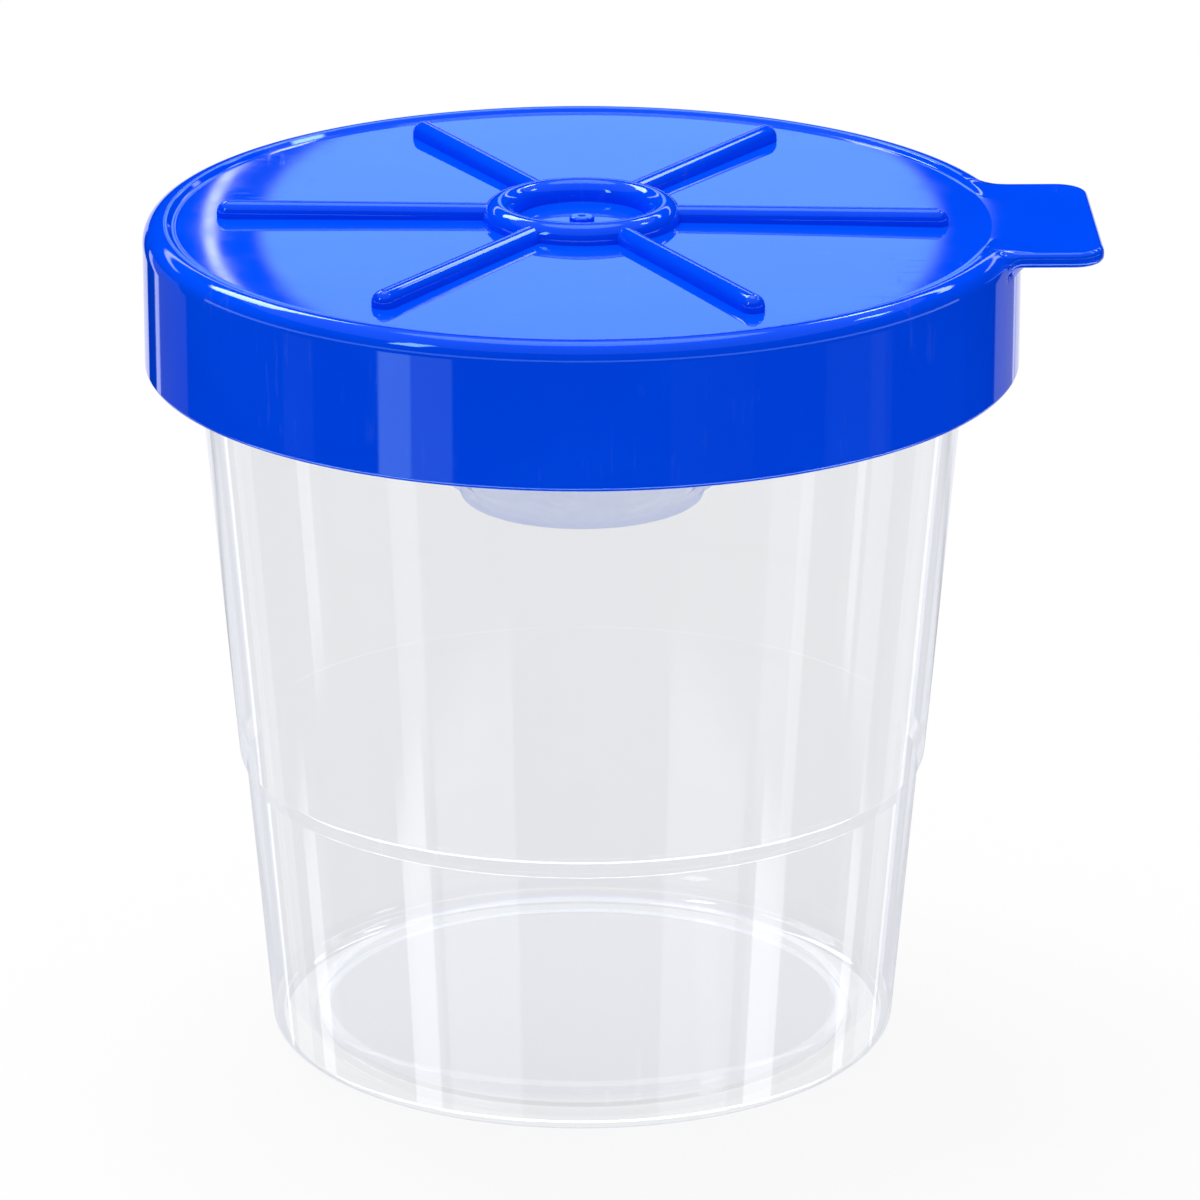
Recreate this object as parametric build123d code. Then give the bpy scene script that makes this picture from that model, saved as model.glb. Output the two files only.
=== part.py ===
# Non-spill paint cup: a clear tapered cup, a funnel-shaped spill guard that caps its rim,
# and a ribbed lid with a pull tab that caps the guard. Each is one moulding.
# Millimetres, +Z up. The origin is on the cup's axis, at the plane that it stands on.
import os
from math import sqrt, tan, radians

from build123d import *

# Cup
cup_height = 82.6
base_radius = 32.0
wall_taper = 4.9
cup_wall = 1.2
floor_thickness = 1.3
foot_recess = 0.8
foot_width = 4.5
base_round = 1.5
floor_round = 3.5
shoulder_height = 30.0
shoulder_slope = 1.8
shoulder_step = 0.55
rim_height = 2.0
rim_reach = 0.5
rim_round = 0.45

# How the pieces fit: an air gap between neighbours, and the beads that they snap over
fit_gap = 0.3
bead_height = 0.3
bead_round = 0.5

# Spill guard
guard_wall = 1.1
guard_flange = 1.3
guard_skirt_depth = 7.5
plug_depth = 5.0
funnel_depth = 25.7
throat_radius = 11.3
throat_length = 1.0
guard_round = 0.4

# Lid shell
lid_wall = 1.3
plate_thickness = 1.6
plate_crown = 0.25
skirt_depth = 14.7
crest_rise = 0.4
crest_width = 1.0
crest_fillet = 0.5
lid_shoulder_round = 1.9
lid_edge_round = 0.45
seal_depth = 3.0
seal_width = 1.2

# Lid ribs, hub and tab
rib_count = 6
rib_radius = 1.22
rib_lift = 0.2
rib_reach = 36.7
rib_turn = -2.5
hub_radius = 8.3
hub_tube_radius = 1.65
hub_recess = 0.15
gate_radius = 1.25
gate_height = 0.4
gate_dimple_radius = 0.5
tab_reach = 51.6
tab_width = 26.0
tab_thickness = 1.55
tab_corner_round = 3.2
tab_edge_round = 0.6
tab_root_round = 1.6
tab_turn = 1.0
crest_fade = 2.5


# Radii and heights that follow from the sizes above
def lower_wall(height):
    """The cup's outside radius below its shoulder."""
    return base_radius + height * tan(radians(wall_taper))


def upper_wall(height):
    """The cup's outside radius above its shoulder."""
    return lower_wall(height) + shoulder_step


shoulder_foot = shoulder_height - shoulder_slope
floor_top = foot_recess + floor_thickness
rim_under = cup_height - rim_height
rim_radius = upper_wall(cup_height) + rim_reach

guard_top = cup_height + guard_flange
guard_bottom = cup_height - guard_skirt_depth
guard_inner = rim_radius + fit_gap + bead_height
guard_outer = guard_inner + guard_wall
plug_bottom = cup_height - plug_depth
plug_radius = upper_wall(plug_bottom) - cup_wall - fit_gap
mouth_radius = plug_radius - guard_wall
funnel_tip = cup_height - funnel_depth
throat_outer = throat_radius + guard_wall
throat_top = funnel_tip + throat_length
throat_round = min(2 * guard_round, throat_length - guard_round)
rim_catch = rim_under - fit_gap - bead_round
guard_catch = guard_bottom + bead_round + guard_round

lid_inner = guard_outer + 2 * bead_height + fit_gap
lid_radius = lid_inner + lid_wall
plate_top = guard_top + plate_thickness
crest_top = plate_top + crest_rise
lid_bottom = crest_top - skirt_depth
crest_radius = lid_radius - lid_shoulder_round
plate_radius = crest_radius - crest_width
lid_catch = guard_catch - 2 * bead_round - fit_gap
seal_radius = mouth_radius - fit_gap
centre_top = plate_top + plate_crown
rib_axis = centre_top + rib_lift
hub_floor = centre_top - hub_recess
root_level = guard_top + plate_thickness / 2


def rounded(section, rounds):
    """Round named corners of a flat section."""
    for corner, size in rounds:
        section = fillet(section.vertices().sort_by_distance(corner)[0], size)
    return section


def turned(corners, rounds):
    """Turn a closed half-section, drawn as radius and height, about the vertical axis."""
    section = rounded(make_face(Polyline(*corners, close=True)), rounds)
    return revolve(Plane.XZ * section, Axis.Z)


def bead_ring(wall_radius, height, outward):
    """A rounded ridge that stands out of a wall by the bead height."""
    sink = bead_round - bead_height
    return Pos(0, 0, height) * Torus(wall_radius - sink if outward else wall_radius + sink, bead_round)


def make_cup():
    foot_inner = lower_wall(0) - foot_width
    rim_inner = (upper_wall(cup_height) - cup_wall, cup_height)
    corners = [
        (0, foot_recess),
        (foot_inner, foot_recess),
        (foot_inner, 0),
        (lower_wall(0), 0),
        (lower_wall(shoulder_foot), shoulder_foot),
        (upper_wall(shoulder_height), shoulder_height),
        (upper_wall(rim_under), rim_under),
        (rim_radius, rim_under),
        (rim_radius, cup_height),
        rim_inner,
        (upper_wall(shoulder_height) - cup_wall, shoulder_height),
        (lower_wall(shoulder_foot) - cup_wall, shoulder_foot),
        (lower_wall(floor_top) - cup_wall, floor_top),
        (0, floor_top),
    ]
    rounds = [
        ((lower_wall(0), 0), base_round),
        ((lower_wall(floor_top) - cup_wall, floor_top), floor_round),
        ((foot_inner, 0), rim_round),
        ((foot_inner, foot_recess), foot_recess / 3),
        ((upper_wall(shoulder_height), shoulder_height), rim_round),
        ((lower_wall(shoulder_foot), shoulder_foot), rim_round),
        ((rim_radius, rim_under), rim_round),
        ((rim_radius, cup_height), rim_round),
        (rim_inner, rim_round),
    ]
    return turned(corners, rounds)


def make_spill_guard():
    corners = [
        (mouth_radius, guard_top),
        (guard_outer, guard_top),
        (guard_outer, guard_bottom),
        (guard_inner, guard_bottom),
        (guard_inner, cup_height),
        (plug_radius, cup_height),
        (plug_radius, plug_bottom),
        (throat_outer, throat_top),
        (throat_outer, funnel_tip),
        (throat_radius, funnel_tip),
        (throat_radius, throat_top),
        (mouth_radius, plug_bottom),
    ]
    rounds = [
        ((mouth_radius, guard_top), guard_round),
        ((guard_outer, guard_top), guard_round),
        ((guard_outer, guard_bottom), guard_round),
        ((guard_inner, guard_bottom), guard_round),
        ((plug_radius, plug_bottom), 2 * guard_wall),
        ((mouth_radius, plug_bottom), guard_wall),
        ((throat_outer, throat_top), throat_round),
        ((throat_radius, throat_top), throat_round),
        ((throat_outer, funnel_tip), guard_round),
        ((throat_radius, funnel_tip), guard_round),
    ]
    shell = turned(corners, rounds)
    return shell + bead_ring(guard_outer, guard_catch, True) + bead_ring(guard_inner, rim_catch, False)


def make_lid_shell():
    """Skirt, rounded shoulder, raised crest, crowned plate and the seal ring under it."""
    crown = ThreePointArc(
        (0, centre_top),
        (plate_radius / 2, plate_top + plate_crown * 3 / 4),
        (plate_radius, plate_top),
    )
    corners = [
        (plate_radius, plate_top),
        (plate_radius + crest_rise, crest_top),
        (lid_radius, crest_top),
        (lid_radius, lid_bottom),
        (lid_inner, lid_bottom),
        (lid_inner, guard_top),
        (seal_radius, guard_top),
        (seal_radius, guard_top - seal_depth),
        (seal_radius - seal_width, guard_top - seal_depth),
        (seal_radius - seal_width, guard_top),
        (0, guard_top),
        (0, centre_top),
    ]
    rounds = [
        ((lid_radius, crest_top), lid_shoulder_round),
        ((plate_radius, plate_top), crest_fillet),
        ((plate_radius + crest_rise, crest_top), crest_rise / 2),
        ((lid_radius, lid_bottom), lid_edge_round),
        ((lid_inner, lid_bottom), lid_edge_round),
        ((lid_inner, guard_top), lid_edge_round),
        ((seal_radius, guard_top - seal_depth), lid_edge_round),
        ((seal_radius - seal_width, guard_top - seal_depth), lid_edge_round),
    ]
    section = rounded(make_face(crown + Polyline(*corners)), rounds)
    shell = revolve(Plane.XZ * section, Axis.Z)
    return shell + bead_ring(lid_inner, lid_catch, False)


def make_hub():
    """A round-topped ring, standing in the plate."""
    wall = Rectangle(2 * hub_tube_radius, rib_axis - root_level, align=(Align.CENTER, Align.MAX))
    section = Pos(hub_radius, rib_axis) * (wall + Circle(hub_tube_radius))
    return revolve(Plane.XZ * section, Axis.Z)


def make_rib():
    """A level, round-topped bar from the hub to a half-ball end."""
    length = rib_reach - rib_radius - hub_radius
    wall = Box(length, 2 * rib_radius, rib_axis - root_level, align=(Align.MIN, Align.CENTER, Align.MAX))
    end = Cylinder(rib_radius, rib_axis - root_level, align=(Align.CENTER, Align.CENTER, Align.MAX))
    bar = Rot(0, 90, 0) * Cylinder(rib_radius, length, align=(Align.CENTER, Align.CENTER, Align.MIN))
    return Pos(hub_radius, 0, rib_axis) * (wall + bar + Pos(length, 0, 0) * (end + Sphere(rib_radius)))


def make_tab():
    """A flat pull tab whose sides sweep into the lid's round shoulder."""
    root_radius = crest_radius + lid_shoulder_round / 2
    half_width = tab_width / 2
    root_reach = sqrt(root_radius**2 - half_width**2)
    plan = Circle(root_radius) + Rectangle(tab_reach, tab_width, align=(Align.MIN, Align.CENTER))
    rounds = []
    for side in (-half_width, half_width):
        rounds.append(((root_reach, side), tab_root_round))
        rounds.append(((tab_reach, side), tab_corner_round))
    slab = extrude(rounded(plan, rounds), -tab_thickness)
    edge_round = min(tab_edge_round, 0.45 * tab_thickness)
    for face in (-1, 0):
        slab = fillet(slab.faces().sort_by(Axis.Z)[face].edges(), edge_round)
    return Pos(0, 0, plate_top) * (slab - Cylinder(crest_radius, 4 * tab_thickness))


def crest_gap():
    """The space over the tab's root, where the crest fades out and the plate runs flat into the tab."""
    low = tab_width / 2 - crest_fade
    high = tab_width / 2
    section = Polyline((-high, crest_rise), (high, crest_rise), (low, 0), (-low, 0), close=True)
    section = make_face(section)
    tool = extrude(Plane.YZ * section, lid_radius)
    return Pos(0, 0, plate_top) * (tool - Cylinder(plate_radius, 4 * crest_rise))


def make_gate_mark():
    """The small dimpled disc that moulding leaves at the lid's centre."""
    disc = Cylinder(gate_radius, 2 * gate_height)
    disc = fillet(disc.edges().group_by(Axis.Z)[-1], gate_height * 0.8)
    dimple = Pos(0, 0, gate_height + gate_dimple_radius / 2) * Sphere(gate_dimple_radius)
    return Pos(0, 0, hub_floor) * (disc - dimple)


def make_lid():
    lid = make_lid_shell() + Rot(0, 0, tab_turn) * make_tab()
    lid -= Rot(0, 0, tab_turn) * crest_gap()
    lid += make_hub()
    for rib in range(rib_count):
        lid += Rot(0, 0, rib_turn + rib * 360 / rib_count) * make_rib()
    well = Cylinder(hub_radius - hub_tube_radius, skirt_depth, align=(Align.CENTER, Align.CENTER, Align.MIN))
    lid -= Pos(0, 0, hub_floor) * well
    return lid + make_gate_mark()


nodes = {"cup": make_cup(), "spill_guard": make_spill_guard(), "lid": make_lid()}
os.makedirs("parts", exist_ok=True)
for name, shape in nodes.items():
    export_step(shape, f"parts/{name}.step")
print(f"lid diameter {2 * lid_radius:.2f}, height {rib_axis + hub_tube_radius:.2f}, funnel tip {funnel_tip:.2f}")
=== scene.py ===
from math import acos, atan2, ceil, cos, pi, radians, sin, sqrt, tan

import bmesh
import bpy
from mathutils import Matrix, Vector


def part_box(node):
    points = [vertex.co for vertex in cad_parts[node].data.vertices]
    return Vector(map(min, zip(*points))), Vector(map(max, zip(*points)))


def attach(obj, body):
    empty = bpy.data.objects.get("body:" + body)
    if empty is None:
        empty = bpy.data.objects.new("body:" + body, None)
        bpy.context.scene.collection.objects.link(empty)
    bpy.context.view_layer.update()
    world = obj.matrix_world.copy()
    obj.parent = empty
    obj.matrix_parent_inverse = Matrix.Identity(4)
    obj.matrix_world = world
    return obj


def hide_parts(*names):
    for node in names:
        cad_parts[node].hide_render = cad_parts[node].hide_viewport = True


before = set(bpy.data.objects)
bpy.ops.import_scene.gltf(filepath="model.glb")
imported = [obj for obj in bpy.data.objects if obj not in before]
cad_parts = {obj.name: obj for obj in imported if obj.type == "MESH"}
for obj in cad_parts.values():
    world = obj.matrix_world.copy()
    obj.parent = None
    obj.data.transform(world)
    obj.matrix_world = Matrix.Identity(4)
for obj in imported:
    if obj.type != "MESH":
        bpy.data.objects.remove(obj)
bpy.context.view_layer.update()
MM = 0.001

# Camera, as fitted to the photograph: pixels, and angles in radians
PHOTO_SIZE = 1200
FOCAL_PIXELS = 7262
SENSOR_WIDTH = 36
CAMERA_DISTANCE = 742 * MM
CAMERA_TARGET_HEIGHT = 42 * MM
CAMERA_RISE = 0.33610
CAMERA_PITCH = 0.33196
CAMERA_YAW = 0.002584
CAMERA_REACH = (0.05, 20)

# How finely the meshes are drawn: a full turn, a round, and the lid's own forms
TURN_STEPS = 288
ARC_STEP = radians(9)
ROOT_STEPS = 10
TAB_STEPS = 12
TAB_EDGE_STEPS = 9
TAB_UNDER_STEPS = 3
SHOULDER_STEPS = 9
HUB_STEPS = 20
PLATE_STEPS = 14
RIB_STEPS = 12

# Edges with a sharper turn than this stay sharp, and large faces weigh this much in the shading
SHARP_ANGLE = radians(32)
FACE_WEIGHT = 50

# Points this near to the axis or to each other, in millimetres, are one point
AXIS_REACH = 1e-6
MERGE_REACH = 0.002

# Bounces of light, which passes many clear faces one behind another
CLEAR_BOUNCES = 24


# Sizes read from the frame
def size_of(node):
    """A node's reach from the axis, and its lowest and highest level."""
    low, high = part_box(node)
    return -low.y / MM, low.z / MM, high.z / MM


rim_radius, _, cup_height = size_of("cup")
guard_reach, funnel_tip, guard_top = size_of("spill_guard")
lid_radius, lid_bottom, _ = size_of("lid")

# Cup
wall_taper = radians(4.9)
base_radius = 32.0
cup_wall = 1.2
floor_thickness = 1.3
foot_recess = 0.8
foot_width = 4.5
foot_inner_round = 0.3
foot_edge_round = 0.45
base_round = 1.5
floor_round = 3.5
shoulder_height = 30.0
shoulder_slope = 1.8
shoulder_step = 0.55
shoulder_round = 1.2
rim_height = 2.0
rim_round = 0.45

# Fits and beads
fit_gap = 0.3
bead_height = 0.3
bead_round = 0.5

# Spill guard
guard_wall = 1.1
guard_skirt_depth = 7.5
plug_depth = 5.0
throat_radius = 11.3
throat_length = 1.0
throat_round = 0.6
guard_round = 0.4

# Lid
lid_wall = 1.3
plate_thickness = 1.6
plate_crown = 0.25
crest_rise = 0.4
crest_width = 1.0
crest_fillet = 0.5
lid_shoulder_round = 1.9
lid_edge_round = 0.45
seal_depth = 3.0
seal_width = 1.2
rib_count = 6
rib_radius = 1.22
rib_lift = 0.2
rib_reach = 36.7
rib_turn = radians(-2.5)
hub_radius = 8.3
hub_tube_radius = 1.65
hub_recess = 0.15
gate_radius = 1.25
gate_height = 0.4
gate_round = 0.24
gate_dimple_radius = 0.5
tab_reach = 51.6
tab_width = 26.0
tab_thickness = 1.55
tab_corner_round = 3.2
tab_edge_round = 0.6
tab_root_round = 1.6
tab_blend_depth = 1.5
tab_turn = radians(1)
crest_fade_start = radians(21)
crest_fade_end = radians(10)


def lower_wall(height):
    """The cup's outside radius below its shoulder."""
    return base_radius + height * tan(wall_taper)


def upper_wall(height):
    """The cup's outside radius above its shoulder."""
    return lower_wall(height) + shoulder_step


shoulder_foot = shoulder_height - shoulder_slope
floor_top = foot_recess + floor_thickness
rim_under = cup_height - rim_height
guard_outer = guard_reach - bead_height
guard_inner = guard_outer - guard_wall
guard_bottom = cup_height - guard_skirt_depth
plug_bottom = cup_height - plug_depth
plug_radius = upper_wall(plug_bottom) - cup_wall - fit_gap
mouth_radius = plug_radius - guard_wall
throat_outer = throat_radius + guard_wall
throat_top = funnel_tip + throat_length
rim_catch = rim_under - fit_gap - bead_round
guard_catch = guard_bottom + bead_round + guard_round
lid_inner = lid_radius - lid_wall
plate_top = guard_top + plate_thickness
crest_top = plate_top + crest_rise
crest_radius = lid_radius - lid_shoulder_round
plate_radius = crest_radius - crest_width
lid_catch = guard_catch - 2 * bead_round - fit_gap
seal_radius = mouth_radius - fit_gap
centre_top = plate_top + plate_crown
rib_axis = centre_top + rib_lift
hub_floor = centre_top - hub_recess
gate_top = hub_floor + gate_height
shoulder_end = crest_top - lid_shoulder_round
tab_bottom = plate_top - tab_thickness
tab_blend_end = shoulder_end - tab_blend_depth


def crown(radius):
    """The plate's height at a radius."""
    return centre_top - plate_crown * (radius / plate_radius) ** 2


def mix(first, second, share):
    """A value between two others."""
    return first + (second - first) * share


def smooth(value):
    """A soft step from 0 to 1."""
    value = min(max(value, 0), 1)
    return value * value * (3 - 2 * value)


# Sections, as radius and height
def round_points(before, corner, after, size):
    """The points of a round at a corner, or the corner alone where it stays sharp."""
    if size == 0:
        return [corner]
    back = (before - corner).normalized()
    ahead = (after - corner).normalized()
    half = back.angle(ahead) / 2
    centre = corner + (back + ahead).normalized() * size / sin(half)
    start = corner + back * size / tan(half)
    sweep = pi - 2 * half
    steps = max(3, ceil(sweep / ARC_STEP))
    spoke = start - centre
    side = 1 if back.x * ahead.y - back.y * ahead.x < 0 else -1
    points = []
    for step in range(steps + 1):
        angle = side * sweep * step / steps
        across = spoke.x * cos(angle) - spoke.y * sin(angle)
        upward = spoke.x * sin(angle) + spoke.y * cos(angle)
        points.append(centre + Vector((across, upward)))
    return points


def section(corners):
    """A section's points from its corners, each a radius, a height and the size of its round."""
    places = [Vector(corner[:2]) for corner in corners]
    points = []
    for number, corner in enumerate(corners):
        after = places[(number + 1) % len(places)]
        size = corner[2] if len(corner) > 2 else 0
        points += round_points(places[number - 1], places[number], after, size)
    return points


def bead(wall_radius, height, outward, upward):
    """The corners of a rounded ridge that stands out of a wall."""
    sink = bead_round - bead_height
    reach = acos(sink / bead_round)
    steps = ceil(2 * reach / ARC_STEP)
    side = 1 if outward else -1
    corners = []
    for step in range(steps + 1):
        angle = mix(-reach, reach, step / steps)
        radius = wall_radius + side * (bead_round * cos(angle) - sink)
        corners.append((radius, height + bead_round * sin(angle)))
    return corners if upward else corners[::-1]


# Meshes
def skin(name, rings, closed):
    """A closed mesh over rings of points. A ring of one point is a pole on the axis."""
    shape = bmesh.new()
    loops = [[shape.verts.new(Vector(point) * MM) for point in ring] for ring in rings]
    pairs = list(zip(loops, loops[1:]))
    if closed:
        pairs.append((loops[-1], loops[0]))
    for low, high in pairs:
        for step in range(max(len(low), len(high))):
            corners = []
            for loop, places in ((low, (step, step + 1)), (high, (step + 1, step))):
                corners += [loop[place % len(loop)] for place in places[: 1 if len(loop) == 1 else 2]]
            shape.faces.new(corners)
    bmesh.ops.recalc_face_normals(shape, faces=shape.faces)
    return finished(name, shape)


def finished(name, shape):
    """An object with a built mesh."""
    mesh = bpy.data.meshes.new(name)
    shape.to_mesh(mesh)
    shape.free()
    shade(mesh)
    piece = bpy.data.objects.new(name, mesh)
    bpy.context.scene.collection.objects.link(piece)
    return piece


def weigh(piece):
    """Let long faces keep their own normals beside small rounds, so that they mirror cleanly."""
    weighted = piece.modifiers.new("weigh", "WEIGHTED_NORMAL")
    weighted.mode = "FACE_AREA"
    weighted.weight = FACE_WEIGHT
    weighted.keep_sharp = True


def shade(mesh):
    """Smooth shading that breaks at sharp edges."""
    for face in mesh.polygons:
        face.use_smooth = True
    mesh.set_sharp_from_angle(angle=SHARP_ANGLE)


def level_ring(angles, radius, height):
    """The points of a level ring at these angles, or one point where it lies on the axis."""
    if radius < AXIS_REACH:
        return [(0, 0, height)]
    return [(radius * cos(angle), radius * sin(angle), height) for angle in angles]


def turned(name, corners, closed):
    """A section turned about the vertical axis."""
    angles = [2 * pi * step / TURN_STEPS for step in range(TURN_STEPS)]
    rings = [level_ring(angles, radius, height) for radius, height in section(corners)]
    return skin(name, rings, closed)


def make_cup():
    foot_inner = lower_wall(0) - foot_width
    corners = [
        (0, foot_recess),
        (foot_inner, foot_recess, foot_inner_round),
        (foot_inner, 0, foot_edge_round),
        (lower_wall(0), 0, base_round),
        (lower_wall(shoulder_foot), shoulder_foot, rim_round),
        (upper_wall(shoulder_height), shoulder_height, shoulder_round),
        (upper_wall(rim_under), rim_under),
        (rim_radius, rim_under, rim_round),
        (rim_radius, cup_height, rim_round),
        (upper_wall(cup_height) - cup_wall, cup_height, rim_round),
        (upper_wall(shoulder_height) - cup_wall, shoulder_height, rim_round),
        (lower_wall(shoulder_foot) - cup_wall, shoulder_foot, rim_round),
        (lower_wall(floor_top) - cup_wall, floor_top, floor_round),
        (0, floor_top),
    ]
    return turned("cup_shell", corners, False)


def make_guard():
    corners = [(mouth_radius, guard_top, guard_round), (guard_outer, guard_top, guard_round)]
    corners += bead(guard_outer, guard_catch, True, False)
    corners += [(guard_outer, guard_bottom, guard_round), (guard_inner, guard_bottom, guard_round)]
    corners += bead(guard_inner, rim_catch, False, True)
    corners += [
        (guard_inner, cup_height),
        (plug_radius, cup_height),
        (plug_radius, plug_bottom, 2 * guard_wall),
        (throat_outer, throat_top, throat_round),
        (throat_outer, funnel_tip, guard_round),
        (throat_radius, funnel_tip, guard_round),
        (throat_radius, throat_top, throat_round),
        (mouth_radius, plug_bottom, guard_wall),
    ]
    return turned("guard_shell", corners, True)


# The lid's plan. Each column has a place and a direction on the outline, how much it belongs to the
# tab, and the angle of its foot on the round parts.
def circle_columns(start, end, steps):
    """The columns of a stretch of the round rim."""
    columns = []
    for step in range(steps):
        angle = mix(start, end, step / steps)
        direction = Vector((cos(angle), sin(angle)))
        columns.append((direction * lid_radius, direction, 0.0, angle))
    return columns


def tab_columns():
    """Half of the tab's outline, from its root on the rim to the middle of its end."""
    half = tab_width / 2
    flare_y = half + tab_root_round
    flare_x = sqrt((lid_radius + tab_root_round) ** 2 - flare_y**2)
    flare = Vector((flare_x, flare_y))
    root_angle = atan2(flare_y, flare_x)
    corner = Vector((tab_reach - tab_corner_round, half - tab_corner_round))
    outline = []
    for step in range(ROOT_STEPS + 1):
        spoke = mix(root_angle + pi, 3 * pi / 2, step / ROOT_STEPS)
        direction = Vector((cos(spoke), sin(spoke)))
        outline.append((flare + direction * tab_root_round, -direction, smooth(step / ROOT_STEPS)))
    for step in range(1, TAB_STEPS):
        side = Vector((mix(flare_x, corner.x, step / TAB_STEPS), half))
        outline.append((side, Vector((0, 1)), 1.0))
    for step in range(TAB_STEPS + 1):
        spoke = pi / 2 * (1 - step / TAB_STEPS)
        direction = Vector((cos(spoke), sin(spoke)))
        outline.append((corner + direction * tab_corner_round, direction, 1.0))
    for step in range(1, TAB_STEPS + 1):
        end = Vector((tab_reach, corner.y * (1 - step / TAB_STEPS)))
        outline.append((end, Vector((1, 0)), 1.0))
    lengths = [0.0]
    for (place, *_), (following, *_) in zip(outline, outline[1:]):
        lengths.append(lengths[-1] + (following - place).length)
    columns = []
    for (place, direction, share), length in zip(outline, lengths):
        columns.append((place, direction, share, root_angle * (1 - length / lengths[-1])))
    return columns, root_angle


def lid_columns():
    """The whole outline: half of the tab, the rim, and the tab's other half as a mirror image."""
    upper, root_angle = tab_columns()
    lower = []
    for place, direction, share, angle in upper[-2::-1]:
        mirrored = Vector((place.x, -place.y)), Vector((direction.x, -direction.y))
        lower.append((*mirrored, share, -angle))
    rim = circle_columns(root_angle, 2 * pi - root_angle, round(TURN_STEPS * (1 - root_angle / pi)))
    return upper[::-1] + rim[1:] + lower[::-1]


def top_section():
    """The gate mark, the hub's floor, the hub and the crowned plate, from the axis outwards."""
    corners = [
        (0, gate_top - gate_dimple_radius * 0.5),
        (gate_dimple_radius * 0.5, gate_top - gate_dimple_radius * 0.4),
        (gate_dimple_radius * 0.85, gate_top),
        (gate_radius, gate_top, gate_round),
        (gate_radius, hub_floor),
        (hub_radius - hub_tube_radius, hub_floor),
    ]
    for step in range(HUB_STEPS + 1):
        angle = pi * (1 - step / HUB_STEPS)
        radius = hub_radius + hub_tube_radius * cos(angle)
        corners.append((radius, rib_axis + hub_tube_radius * sin(angle)))
    hub_edge = hub_radius + hub_tube_radius
    plate_edge = plate_radius - crest_fillet
    for step in range(PLATE_STEPS + 1):
        radius = mix(hub_edge, plate_edge, step / PLATE_STEPS)
        corners.append((radius, crown(radius)))
    return corners


def crest_section():
    """The crest's inner side, from the plate's edge to the shoulder, as radius and share of its rise."""
    corners = [
        (plate_radius - crest_fillet, 0),
        (plate_radius, 0, crest_fillet / 2),
        (plate_radius + crest_rise, crest_rise, crest_rise / 2),
        (crest_radius, crest_rise),
        (crest_radius, -crest_rise),
    ]
    points = section(corners)[1:-1]
    return [(point.x, point.y / crest_rise) for point in points]


def shoulder_rings(columns):
    """The rim's round shoulder, which turns into the tab's upper edge at the tab."""
    rings = []
    for step in range(SHOULDER_STEPS + 1):
        angle = pi / 2 * step / SHOULDER_STEPS
        ring = []
        for place, direction, share, _ in columns:
            size = mix(lid_shoulder_round, tab_edge_round, share)
            point = place - direction * size * (1 - sin(angle))
            top = mix(crest_top, plate_top, share)
            ring.append((*point, top - size * (1 - cos(angle))))
        rings.append(ring)
    return rings


def wall_rings(columns):
    """The top of the rim's wall, which turns into the tab's lower edge and underside at the tab."""
    rings = []
    steps = TAB_EDGE_STEPS + TAB_UNDER_STEPS
    for step in range(1, steps + 1):
        ring = []
        for place, direction, share, foot in columns:
            wall = Vector((cos(foot), sin(foot))) * lid_radius
            wall_height = mix(shoulder_end, tab_blend_end, step / steps)
            if step <= TAB_EDGE_STEPS:
                angle = pi / 2 * (step - 1) / (TAB_EDGE_STEPS - 1)
                point = place - direction * tab_edge_round * (1 - cos(angle))
                height = tab_bottom + tab_edge_round * (1 - sin(angle))
            else:
                edge = place - direction * tab_edge_round
                point = mix(edge, wall, smooth((step - TAB_EDGE_STEPS) / TAB_UNDER_STEPS))
                height = tab_bottom if step < steps else tab_blend_end
            ring.append((*mix(wall, point, share), mix(wall_height, height, share)))
        rings.append(ring)
    return rings


def underside_corners():
    """The skirt, the inside with its snap bead, and the seal ring, down the outside and in to the axis."""
    corners = [
        (lid_radius, tab_blend_end),
        (lid_radius, lid_bottom, lid_edge_round),
        (lid_inner, lid_bottom, lid_edge_round),
    ]
    corners += bead(lid_inner, lid_catch, False, True)
    corners += [
        (lid_inner, guard_top, lid_edge_round),
        (seal_radius, guard_top),
        (seal_radius, guard_top - seal_depth, lid_edge_round),
        (seal_radius - seal_width, guard_top - seal_depth, lid_edge_round),
        (seal_radius - seal_width, guard_top),
        (0, guard_top),
    ]
    return corners


def make_lid_shell():
    columns = lid_columns()
    angles = [angle for *_, angle in columns]
    rings = [level_ring(angles, radius, height) for radius, height in section(top_section())]
    for radius, share in crest_section():
        ring = []
        for angle in angles:
            away = abs(atan2(sin(angle), cos(angle)))
            rise = crest_rise * smooth((away - crest_fade_end) / (crest_fade_start - crest_fade_end))
            ring.append((radius * cos(angle), radius * sin(angle), plate_top + rise * share))
        rings.append(ring)
    rings += shoulder_rings(columns)[1:] + wall_rings(columns)
    rings += [level_ring(angles, radius, height) for radius, height in section(underside_corners())[1:]]
    shell = skin("lid_shell", rings, False)
    shell.data.transform(Matrix.Rotation(tab_turn, 4, "Z"))
    return shell


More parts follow.
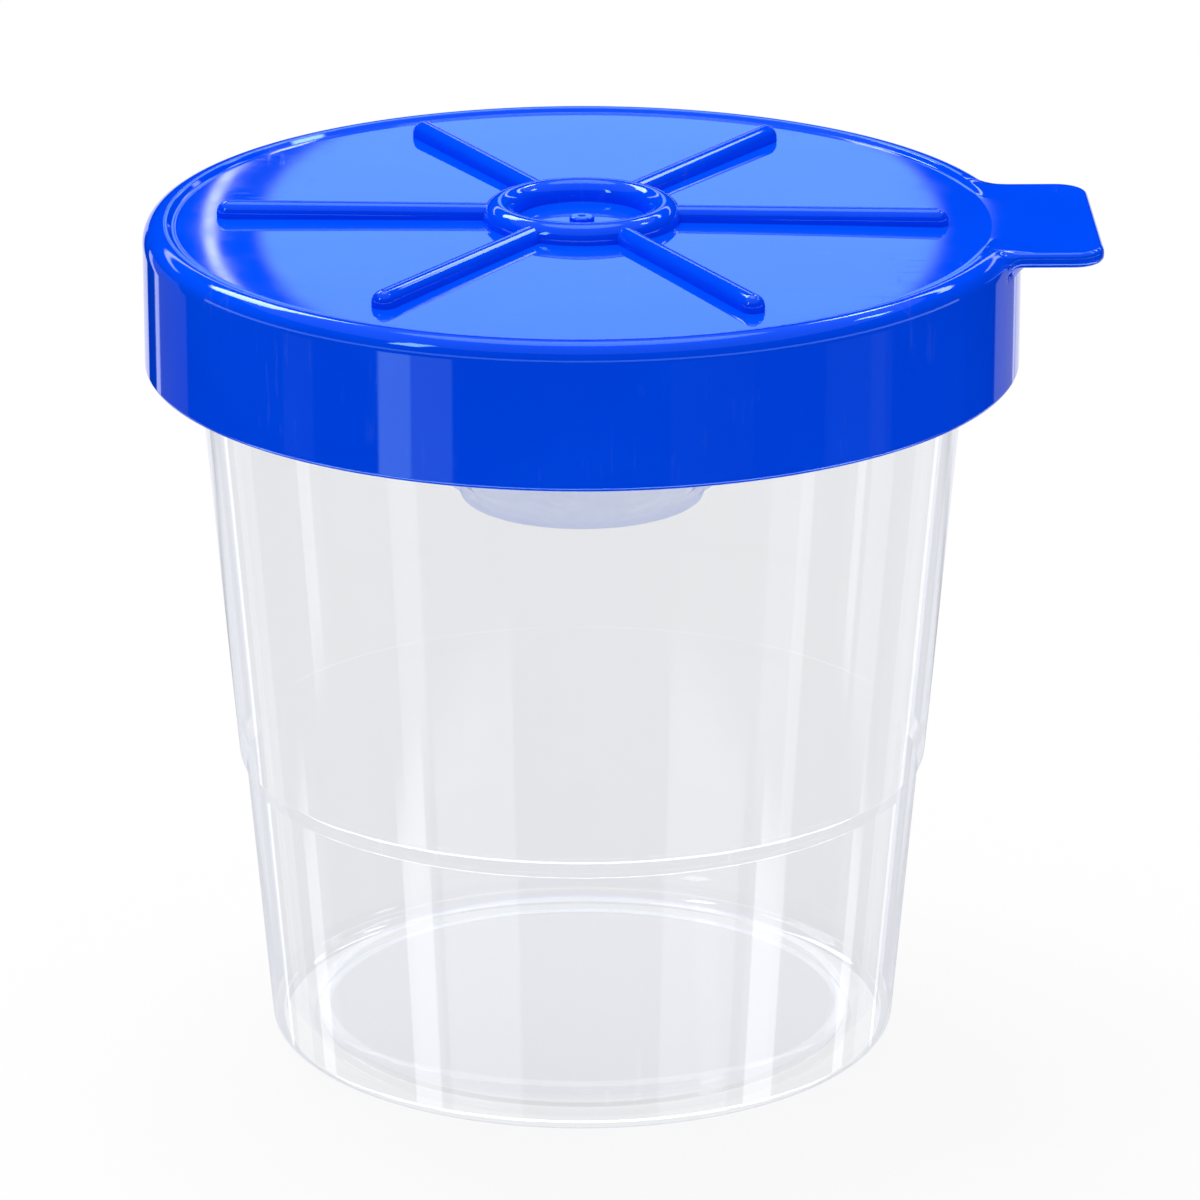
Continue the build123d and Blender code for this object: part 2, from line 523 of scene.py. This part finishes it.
def rib_rings():
    """A round-topped bar with a half-ball end: its outline in plan, drawn in level by level."""
    end = rib_reach - rib_radius
    along = [mix(hub_radius, end, step / RIB_STEPS) for step in range(RIB_STEPS)]
    outline = [(x, -1.0, 0.0, 0.0) for x in along]
    for step in range(2 * RIB_STEPS + 1):
        angle = pi * (step / (2 * RIB_STEPS) - 0.5)
        outline.append((end, 0.0, cos(angle), sin(angle)))
    outline += [(x, 1.0, 0.0, 0.0) for x in along[::-1]]
    levels = [(rib_radius, guard_top + plate_thickness / 2), (rib_radius, rib_axis)]
    for step in range(1, RIB_STEPS + 1):
        angle = pi / 2 * step / RIB_STEPS
        levels.append((rib_radius * cos(angle), rib_axis + rib_radius * sin(angle)))
    rings = []
    for reach, height in levels:
        rings.append([(x + reach * out, reach * (side + swing), height) for x, side, out, swing in outline])
    return rings


def make_ribs():
    """The six ribs in one mesh, ready to be joined to the shell."""
    shape = bmesh.new()
    for number in range(rib_count):
        turn = rib_turn + 2 * pi * number / rib_count
        loops = []
        for ring in rib_rings():
            loop = []
            for x, y, z in ring:
                place = (x * cos(turn) - y * sin(turn), x * sin(turn) + y * cos(turn), z)
                loop.append(shape.verts.new(Vector(place) * MM))
            loops.append(loop)
        for low, high in zip(loops, loops[1:]):
            for step in range(len(low)):
                following = (step + 1) % len(low)
                shape.faces.new((low[step], low[following], high[following], high[step]))
        shape.faces.new(loops[0][::-1])
    bmesh.ops.remove_doubles(shape, verts=shape.verts, dist=MERGE_REACH * MM)
    bmesh.ops.recalc_face_normals(shape, faces=shape.faces)
    return finished("ribs", shape)


def join(piece, other):
    """Fuse a second mesh into a piece."""
    fuse = piece.modifiers.new("fuse", "BOOLEAN")
    fuse.operation = "UNION"
    fuse.solver = "EXACT"
    fuse.object = other
    bpy.context.view_layer.update()
    solved = piece.evaluated_get(bpy.context.evaluated_depsgraph_get())
    mesh = bpy.data.meshes.new_from_object(solved)
    piece.modifiers.clear()
    piece.data = mesh
    mesh.name = piece.name
    shade(mesh)
    bpy.data.objects.remove(other)


def make_lid():
    lid = make_lid_shell()
    join(lid, make_ribs())
    return lid


# Node trees
class Tree:
    """A node tree, with short calls for what the materials and the world share."""

    def __init__(self, tree):
        self.tree = tree

    def add(self, kind):
        return self.tree.nodes.new(kind)

    def link(self, source, target):
        self.tree.links.new(source, target)

    def feed(self, socket, value):
        """Set a socket to a number or a colour, or link it to another node's output."""
        if isinstance(value, (int, float)):
            socket.default_value = value
        elif isinstance(value, tuple):
            socket.default_value = (*value, 1)
        else:
            self.link(value, socket)

    def math(self, kind, *values):
        node = self.add("ShaderNodeMath")
        node.operation = kind
        for socket, value in zip(node.inputs, values):
            self.feed(socket, value)
        return node.outputs["Value"]

    def add_up(self, *values):
        """The sum of two or more values."""
        total = values[0]
        for value in values[1:]:
            total = self.math("ADD", total, value)
        return total

    def times(self, first, second):
        return self.math("MULTIPLY", first, second)

    def spread(self, value, low, high, out_low=0.0, out_high=1.0):
        """Map a range of a value to another range, with soft ends."""
        node = self.add("ShaderNodeMapRange")
        node.interpolation_type = "SMOOTHSTEP"
        self.link(value, node.inputs["Value"])
        node.inputs["From Min"].default_value = low
        node.inputs["From Max"].default_value = high
        node.inputs["To Min"].default_value = out_low
        node.inputs["To Max"].default_value = out_high
        return node.outputs["Result"]

    def within(self, distance, half, edge):
        """1 where a distance is under half, falling to 0 over a soft edge."""
        return self.spread(distance, half + edge, half - edge)

    def blend(self, share, first, second):
        """A mix of two colours."""
        node = self.add("ShaderNodeMix")
        node.data_type = "RGBA"
        self.feed(node.inputs["Factor"], share)
        self.feed(node.inputs["A"], first)
        self.feed(node.inputs["B"], second)
        return node.outputs["Result"]

    def seen_rays(self):
        """1 for what the camera sees, directly or through clear plastic, and 1 for what gloss mirrors."""
        path = self.add("ShaderNodeLightPath").outputs
        seen = self.math("MAXIMUM", path["Is Camera Ray"], path["Is Transmission Ray"])
        return seen, path["Is Glossy Ray"]


class Material(Tree):
    """A material's node tree."""

    def __init__(self, name):
        self.material = bpy.data.materials.new(name)
        self.material.use_nodes = True
        super().__init__(self.material.node_tree)
        self.shader = self.tree.nodes["Principled BSDF"]

    def place(self):
        """A point's place on the piece, in metres, which moves with the piece."""
        return self.add("ShaderNodeTexCoord").outputs["Object"]

    def noise(self, scale, detail=2.0, roughness=0.5, stretch=(1, 1, 1)):
        """Noise of this many cells to the metre."""
        mapping = self.add("ShaderNodeMapping")
        mapping.inputs["Scale"].default_value = stretch
        self.link(self.place(), mapping.inputs["Vector"])
        node = self.add("ShaderNodeTexNoise")
        node.inputs["Scale"].default_value = scale
        node.inputs["Detail"].default_value = detail
        node.inputs["Roughness"].default_value = roughness
        self.link(mapping.outputs["Vector"], node.inputs["Vector"])
        return node.outputs["Fac"]

    def scratches(self, scale, stretch):
        """Thin, faint hairlines along one direction, broken up so that they are short."""
        lines = self.spread(self.noise(scale, 3.0, 0.6, stretch), 0.61, 0.66)
        patches = self.spread(self.noise(90, 2.0), 0.52, 0.62)
        return self.times(lines, patches)

    def bump(self, height, relief, base=None):
        """Relief of this many millimetres for a height of 1."""
        node = self.add("ShaderNodeBump")
        node.inputs["Strength"].default_value = 1.0
        node.inputs["Distance"].default_value = relief * MM
        self.link(height, node.inputs["Height"])
        if base:
            self.link(base, node.inputs["Normal"])
        return node.outputs["Normal"]

    def wall_place(self):
        """The distance from the axis, brought down the cup's taper to its base, and the height.
        Both are in millimetres."""
        parts = self.add("ShaderNodeSeparateXYZ")
        self.link(self.place(), parts.inputs["Vector"])
        x, y, z = parts.outputs
        squares = self.add_up(self.math("POWER", x, 2.0), self.math("POWER", y, 2.0))
        leaned = self.times(z, tan(wall_taper))
        at_base = self.math("SUBTRACT", self.math("SQRT", squares), leaned)
        return self.times(at_base, 1 / MM), self.times(z, 1 / MM)

    def cover(self, film, coat, share):
        """Make the surface a see-through film with a share of a second shader over it."""
        mixer = self.add("ShaderNodeMixShader")
        self.feed(mixer.inputs["Fac"], share)
        self.link(film.outputs[0], mixer.inputs[1])
        self.link(coat.outputs[0], mixer.inputs[2])
        self.link(mixer.outputs["Shader"], self.tree.nodes["Material Output"].inputs["Surface"])


# Blue plastic: colours, roughness, and relief in millimetres
BLUE_DEEP = (0.0, 0.067, 0.92)
BLUE_PALE = (0.0, 0.075, 0.96)
BLUE_SCRATCHED = (0.10, 0.20, 0.95)
BLUE_GLOSS = (0.36, 0.72, 1.0)
BLUE_GLOSS_LEVEL = 0.9
BLUE_INDEX = 1.5
BLUE_POLISH = (0.025, 0.045)
BLUE_WAVES = 0.003
BLUE_HAIRLINES = 0.0001
# How much a hairline changes the colour, and the roughness of blue and clear plastic
SCRATCH_COLOUR = 0.06
BLUE_SCRATCH_ROUGHNESS = 0.04
CLEAR_SCRATCH_ROUGHNESS = 0.06


def blue_plastic():
    """Opaque glossy moulding: slight flow shading, fine hairlines and a soft polish."""
    nodes = Material("blue_plastic")
    shader = nodes.shader
    lengthwise = nodes.scratches(1500, (1, 0.06, 0.06))
    crosswise = nodes.scratches(1500, (0.07, 1, 0.08))
    hairlines = nodes.math("MAXIMUM", lengthwise, crosswise)
    flow = nodes.spread(nodes.noise(45, 3.0), 0.35, 0.65)
    colour = nodes.blend(flow, BLUE_DEEP, BLUE_PALE)
    colour = nodes.blend(nodes.times(hairlines, SCRATCH_COLOUR), colour, BLUE_SCRATCHED)
    nodes.link(colour, shader.inputs["Base Color"])
    polish = nodes.spread(nodes.noise(140, 4.0, 0.6), 0.35, 0.7, *BLUE_POLISH)
    roughness = nodes.add_up(polish, nodes.times(hairlines, BLUE_SCRATCH_ROUGHNESS))
    nodes.link(roughness, shader.inputs["Roughness"])
    shader.inputs["IOR"].default_value = BLUE_INDEX
    shader.inputs["Specular IOR Level"].default_value = BLUE_GLOSS_LEVEL
    shader.inputs["Specular Tint"].default_value = (*BLUE_GLOSS, 1)
    waves = nodes.bump(nodes.noise(60, 1.0), BLUE_WAVES)
    nodes.link(nodes.bump(hairlines, BLUE_HAIRLINES, waves), shader.inputs["Normal"])
    return nodes.material


# Clear plastic: what each part of the film lets through
CLEAR_WALL = (0.983, 0.987, 0.995)
CLEAR_WALL_PALE = (0.989, 0.992, 0.998)
CLEAR_FLOOR = (0.960, 0.965, 0.978)
CLEAR_FOOT = (0.970, 0.975, 0.985)
CLEAR_OUTLINE = (0.92, 0.93, 0.96)
# Its gloss: tint, roughness, and relief in millimetres
CLEAR_GLOSS = (0.95, 0.96, 1.0)
CLEAR_HAZE = (0.012, 0.03)
CLEAR_WAVES = 0.002
CLEAR_HAIRLINES = 0.0004
# Share of gloss head on. The outer faces stand for both faces of their wall, so that edges mirror once
OUTER_GLOSS = 0.08
RING_GLOSS = 0.15
INNER_GLOSS = 0.015
# The power by which gloss grows with the turn away from the eye, and the turn where the outline starts
GRAZING_POWER = 10.0
OUTLINE_TURN = (0.69, 0.75)
# The zones' soft borders, in millimetres from the faces that they follow
RADIUS_BORDER = 0.1
FLOOR_BORDER = 0.5
UNDERSIDE_BORDER = (0.5, 0.3)
FOOT_BORDER = (0.3, 0.1)
RING_BORDER = (1.2, 0.9)


def clear_zones(nodes):
    """Shares of the cup's outer faces, its floor's disc, its foot and the ring at the disc's edge."""
    radius, height = nodes.wall_place()
    round_start = base_radius - base_round
    disc = base_radius - foot_width - foot_inner_round
    wall = nodes.spread(radius, base_radius - cup_wall / 2, base_radius - cup_wall / 4)
    low_round = nodes.spread(radius, round_start - RADIUS_BORDER, round_start + RADIUS_BORDER)
    in_disc = nodes.spread(radius, disc + RADIUS_BORDER, disc - RADIUS_BORDER)
    near_edge = nodes.spread(radius, disc - RING_BORDER[0], disc - RING_BORDER[1])
    low = nodes.spread(height, floor_top + FLOOR_BORDER, floor_top)
    under_floor = nodes.spread(height, floor_top - UNDERSIDE_BORDER[1], floor_top - UNDERSIDE_BORDER[0])
    foot_face = nodes.spread(height, foot_recess - FOOT_BORDER[1], foot_recess - FOOT_BORDER[0])
    outer = nodes.math("MAXIMUM", wall, nodes.times(low_round, under_floor))
    on_disc = nodes.times(low, in_disc)
    foot = nodes.math("MAXIMUM", nodes.times(low, outer), foot_face)
    return outer, on_disc, foot, nodes.times(near_edge, on_disc)


def clear_plastic():
    """Clear moulding, thin enough not to bend what shows through it: a faint tint that deepens towards
    its outline, gloss that does the same, slow flow waves and hairlines."""
    nodes = Material("clear_plastic")
    nodes.tree.nodes.remove(nodes.shader)
    outer, on_disc, foot, ring = clear_zones(nodes)
    turn = nodes.add("ShaderNodeLayerWeight").outputs["Facing"]
    outline = nodes.times(nodes.spread(turn, *OUTLINE_TURN), outer)
    flow = nodes.spread(nodes.noise(30, 2.0, 0.5, (1, 1, 0.25)), 0.35, 0.65)
    tint = nodes.blend(flow, CLEAR_WALL, CLEAR_WALL_PALE)
    for share, colour in ((on_disc, CLEAR_FLOOR), (foot, CLEAR_FOOT), (outline, CLEAR_OUTLINE)):
        tint = nodes.blend(share, tint, colour)
    film = nodes.add("ShaderNodeBsdfTransparent")
    nodes.link(tint, film.inputs["Color"])
    gloss = nodes.add("ShaderNodeBsdfGlossy")
    gloss.inputs["Color"].default_value = (*CLEAR_GLOSS, 1)
    hairlines = nodes.scratches(700, (1, 1, 0.03))
    haze = nodes.spread(nodes.noise(120, 4.0, 0.6), 0.4, 0.75, *CLEAR_HAZE)
    roughness = nodes.add_up(haze, nodes.times(hairlines, CLEAR_SCRATCH_ROUGHNESS))
    nodes.link(roughness, gloss.inputs["Roughness"])
    waves = nodes.bump(nodes.noise(40, 1.0, 0.5, (1, 1, 0.3)), CLEAR_WAVES)
    nodes.link(nodes.bump(hairlines, CLEAR_HAIRLINES, waves), gloss.inputs["Normal"])
    grazing = nodes.times(nodes.math("POWER", turn, GRAZING_POWER), 1 - OUTER_GLOSS)
    on_outer = nodes.times(nodes.add_up(grazing, OUTER_GLOSS - INNER_GLOSS), outer)
    on_ring = nodes.times(ring, RING_GLOSS - INNER_GLOSS)
    nodes.cover(film, gloss, nodes.add_up(on_outer, on_ring, INNER_GLOSS))
    return nodes.material


# Natural plastic: milk and film colours, the milk's share over the film, roughness, and relief
# The blue in these milk and film colours is partly the plastic's own faint tint and partly painted light:
# the blue lid's light reflected into the guard
MILK_AND_LID_LIGHT_DEEP = (0.58, 0.65, 0.95)
MILK_AND_LID_LIGHT_PALE = (0.64, 0.70, 0.98)
MILK_FILM_AND_LID_LIGHT_DEEP = (0.90, 0.925, 1.0)
MILK_FILM_AND_LID_LIGHT_PALE = (0.92, 0.945, 1.0)
MILK_SHARE = (0.16, 0.21)
MILK_SATIN = (0.24, 0.34)
MILK_GRAIN = 0.003
MILK_INDEX = 1.49


def natural_plastic():
    """Milky translucent moulding with a satin face: a pale film over a blue tint, which is partly painted
    light from the blue lid.
    """
    nodes = Material("natural_plastic")
    milk = nodes.shader
    cloud = nodes.spread(nodes.noise(55, 4.0, 0.6), 0.3, 0.7)
    # Painted light: part of the milk's blue stands for the blue lid's light reflected into it
    nodes.link(nodes.blend(cloud, MILK_AND_LID_LIGHT_DEEP, MILK_AND_LID_LIGHT_PALE), milk.inputs["Base Color"])
    satin = nodes.spread(nodes.noise(400, 3.0, 0.6), 0.3, 0.7, *MILK_SATIN)
    nodes.link(satin, milk.inputs["Roughness"])
    milk.inputs["IOR"].default_value = MILK_INDEX
    nodes.link(nodes.bump(nodes.noise(500, 3.0, 0.6), MILK_GRAIN), milk.inputs["Normal"])
    film = nodes.add("ShaderNodeBsdfTransparent")
    # Painted light: part of the film's blue stands for the blue lid's light seen through it
    nodes.link(nodes.blend(cloud, MILK_FILM_AND_LID_LIGHT_DEEP, MILK_FILM_AND_LID_LIGHT_PALE), film.inputs["Color"])
    nodes.cover(film, milk, nodes.spread(nodes.noise(70, 3.0), 0.3, 0.7, *MILK_SHARE))
    return nodes.material


def dress(piece, material, node, body):
    """Finish a piece, and let it stand for its node."""
    weigh(piece)
    piece.data.materials.clear()
    piece.data.materials.append(material)
    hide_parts(node)
    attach(piece, body)


# The soft box, in metres and watts
BOX_PLACE = (-0.12, 0.25, 0.95)
BOX_TARGET = (0, 0, 0.05)
BOX_SIDE = 0.55
BOX_WATTS = 7.0

# The floor, in metres, and how much of it shows as plain white
FLOOR_HALF = 3.0
FLOOR_GREY = (0.78, 0.78, 0.78)
FLOOR_ROUGHNESS = 0.9
FLOOR_WHITE = 0.9


def make_soft_box():
    """One broad lamp above and behind the object, which gloss doesn't mirror."""
    data = bpy.data.lights.new("top_box", "AREA")
    data.size = BOX_SIDE
    data.energy = BOX_WATTS
    light = bpy.data.objects.new("top_box", data)
    light.location = BOX_PLACE
    light.rotation_euler = (Vector(BOX_TARGET) - Vector(BOX_PLACE)).to_track_quat("-Z", "Y").to_euler()
    light.visible_glossy = False
    bpy.context.scene.collection.objects.link(light)


def make_floor():
    """A plain pale floor. It looks nearly white, keeps a faint shadow, and stays out of reflections."""
    mesh = bpy.data.meshes.new("floor")
    corners = [(-1, -1), (1, -1), (1, 1), (-1, 1)]
    mesh.from_pydata([(x * FLOOR_HALF, y * FLOOR_HALF, 0) for x, y in corners], [], [(0, 1, 2, 3)])
    floor = bpy.data.objects.new("floor", mesh)
    bpy.context.scene.collection.objects.link(floor)
    floor.visible_glossy = False
    nodes = Material("pale_floor")
    lit = nodes.shader
    lit.inputs["Base Color"].default_value = (*FLOOR_GREY, 1)
    lit.inputs["Roughness"].default_value = FLOOR_ROUGHNESS
    seen, _ = nodes.seen_rays()
    nodes.cover(lit, nodes.add("ShaderNodeEmission"), nodes.times(seen, FLOOR_WHITE))
    mesh.materials.append(nodes.material)


# Lights that only gloss shows, so that they don't light the object. Screens: middle and half width in
# degrees from the front, lowest and highest rise, and brightness
SCREENS = [
    # Upright strips that the lid's skirt mirrors, and the first one's head for the lid's shoulder
    (-49.5, 4.6, -23, -15, 1.6),
    (-49.5, 4.6, 28, 45, 8.0),
    (-39.2, 5.5, -23, -15, 0.6),
    (-79, 5, -23, -15, 0.08),
    (77, 11, -23, -15, 0.08),
    (83, 2.5, -23, -15, 0.08),
    (34, 11, -23, -15, 0.04),
    (180, 20, -19.5, 1, 1.0),
    (-148, 2, -19.5, 1, 1.2),
    (-136, 10, -19.5, 1, 0.12),
    (149, 11, -19.5, 1, 0.35),
    (158, 1.5, -19.5, 1, 0.8),
    # Strips that the cup's upper wall mirrors
    (-57.5, 4.9, -28.9, -23, 0.55),
    (68.4, 7.8, -28.9, -23, 0.35),
    (74, 2.5, -28.9, -23, 0.45),
    (-95.6, 2.8, -26, -20.5, 1.0),
    (95.9, 1.9, -26, -20.5, 1.1),
    (106, 5.5, -26, -20.5, 0.6),
    # Strips that its lower wall mirrors
    (-37, 14, -33, -28.9, 0.5),
    (43, 14, -33, -28.9, 0.5),
    (-61, 5.6, -33, -28.9, 1.5),
    (70.5, 6.4, -33, -28.9, 1.7),
    (-111.5, 3.7, -33, -26, 1.5),
    (113, 3.2, -33, -26, 1.6),
    # Pale sides that both mirror near their outline, each with a bright edge, and a pale back
    (-128.5, 6, -34, -20, 0.6),
    (130.5, 6.5, -34, -20, 0.6),
    (-140.8, 1.3, -34, -20, 2.4),
    (139.3, 1.6, -34, -20, 2.0),
    (180, 38, -60, -20, 0.8),
    # Bands round the front, near the horizon and below it, that show as thin lines on rounded edges
    (0, 112, -4, 3, 1.2),
    (0, 72, -56, -34, 4.5),
    (-84, 12, -50, -34, 5.5),
    (84, 12, -50, -34, 5.5),
    (-106, 10, -43, -34, 5.5),
    (106, 10, -43, -34, 5.5),
    # Windows behind the object that the crest, the ribs and the hub catch
    (-152, 13, 34, 46, 8.0),
    (150, 13, 34, 37, 5.0),
    (162, 3, 38, 45, 10.0),
    (116, 5, 45, 51, 10.0),
    # A low window behind that the cup's floor mirrors
    (180, 40, 20.3, 22.6, 2.0),
    # A broad dim ceiling
    (0, 180, 40, 90, 0.3),
]
# Round lamps: degrees from the front, rise, half width and brightness
LAMPS = [(180, 71, 17, 1.8)]
# How far the light fades on each side of an edge, in degrees
SCREEN_EDGE = 0.6
LAMP_EDGE = 1.0
# The round panel that the lid's plate mirrors, and the rim that shows at its left, in degrees
PANEL_SIDE = 0.17
PANEL_RISE = 16.2
PANEL_RADIUS = 3.12
PANEL_EDGE = 0.1
PANEL_COLOUR = (0.53, 1.0, 1.0)
RIM_RADIUS = 3.59
RIM_HALF_WIDTH = 0.05
RIM_START = -1.6
RIM_START_EDGE = 0.8
RIM_BRIGHTNESS = 3.0
# The even light from all round that falls on the object
SKY_FILL = 0.70
WHITE = (1.0, 1.0, 1.0)


def screens_light(sky, azimuth, rise):
    """The light of the screens, each a soft-edged stretch of azimuth and rise."""
    light = 0.0
    for middle, half, lowest, highest, brightness in SCREENS:
        turn = sky.math("WRAP", sky.math("SUBTRACT", azimuth, float(middle)), 180.0, -180.0)
        beside = sky.math("ABSOLUTE", turn)
        above = sky.math("ABSOLUTE", sky.math("SUBTRACT", rise, (lowest + highest) / 2))
        across = sky.within(beside, half, SCREEN_EDGE)
        upward = sky.within(above, (highest - lowest) / 2, SCREEN_EDGE)
        light = sky.add_up(light, sky.times(sky.times(across, upward), brightness))
    return light


def lamps_light(sky, direction):
    """The light of the round lamps, by the angle between a direction and each lamp."""
    light = 0.0
    for middle, rise, half, brightness in LAMPS:
        level = cos(radians(rise))
        toward = (sin(radians(middle)) * level, -cos(radians(middle)) * level, sin(radians(rise)))
        along = sky.add_up(*(sky.times(part, number) for part, number in zip(direction, toward)))
        away = sky.math("DEGREES", sky.math("ARCCOSINE", along))
        light = sky.add_up(light, sky.times(sky.within(away, half, LAMP_EDGE), brightness))
    return light


def panel_light(sky, x, y, rise):
    """The panel behind the object, and the light of its rim."""
    side = sky.math("DEGREES", sky.math("ARCTAN2", x, y))
    across = sky.math("SUBTRACT", side, PANEL_SIDE)
    upward = sky.math("SUBTRACT", rise, PANEL_RISE)
    squares = sky.add_up(sky.math("POWER", across, 2.0), sky.math("POWER", upward, 2.0))
    distance = sky.math("SQRT", squares)
    panel = sky.within(distance, PANEL_RADIUS, PANEL_EDGE)
    from_rim = sky.math("ABSOLUTE", sky.math("SUBTRACT", distance, RIM_RADIUS))
    rim = sky.within(from_rim, RIM_HALF_WIDTH, RIM_HALF_WIDTH)
    rim = sky.times(rim, sky.within(side, RIM_START, RIM_START_EDGE))
    return panel, sky.times(rim, RIM_BRIGHTNESS)


def make_world():
    """Screens, lamps and panel for gloss, plain white for the camera, and an even fill for the rest."""
    world = bpy.data.worlds.new("studio")
    bpy.context.scene.world = world
    world.use_nodes = True
    sky = Tree(world.node_tree)
    parts = sky.add("ShaderNodeSeparateXYZ")
    sky.link(sky.add("ShaderNodeTexCoord").outputs["Generated"], parts.inputs["Vector"])
    x, y, z = parts.outputs
    azimuth = sky.math("DEGREES", sky.math("ARCTAN2", x, sky.times(y, -1.0)))
    rise = sky.math("DEGREES", sky.math("ARCSINE", z))
    panel, rim = panel_light(sky, x, y, rise)
    gloss = sky.add_up(screens_light(sky, azimuth, rise), lamps_light(sky, (x, y, z)), panel, rim)
    seen, mirrored = sky.seen_rays()
    fill = sky.times(sky.math("SUBTRACT", 1.0, mirrored), SKY_FILL)
    level = sky.add_up(sky.times(gloss, mirrored), fill)
    strength = sky.add_up(sky.times(level, sky.math("SUBTRACT", 1.0, seen)), seen)
    background = sky.tree.nodes["Background"]
    sky.link(strength, background.inputs["Strength"])
    sky.link(sky.blend(sky.times(panel, mirrored), WHITE, PANEL_COLOUR), background.inputs["Color"])


def make_camera():
    data = bpy.data.cameras.new("camera")
    data.sensor_width = SENSOR_WIDTH
    data.lens = SENSOR_WIDTH * FOCAL_PIXELS / PHOTO_SIZE
    data.clip_start, data.clip_end = CAMERA_REACH
    camera = bpy.data.objects.new("camera", data)
    camera.location = (
        0,
        -CAMERA_DISTANCE * cos(CAMERA_RISE),
        CAMERA_TARGET_HEIGHT + CAMERA_DISTANCE * sin(CAMERA_RISE),
    )
    camera.rotation_euler = (pi / 2 - CAMERA_PITCH, 0, -CAMERA_YAW)
    bpy.context.scene.collection.objects.link(camera)
    bpy.context.scene.camera = camera


make_camera()
cup = make_cup()
guard = make_guard()
lid = make_lid()
dress(cup, clear_plastic(), "cup", "cup")
dress(guard, natural_plastic(), "spill_guard", "spill_guard")
dress(lid, blue_plastic(), "lid", "lid")
make_floor()
make_world()
make_soft_box()

cycles = bpy.context.scene.cycles
cycles.max_bounces = CLEAR_BOUNCES
cycles.glossy_bounces = CLEAR_BOUNCES
cycles.transparent_max_bounces = CLEAR_BOUNCES
bpy.context.scene.view_settings.view_transform = "Standard"
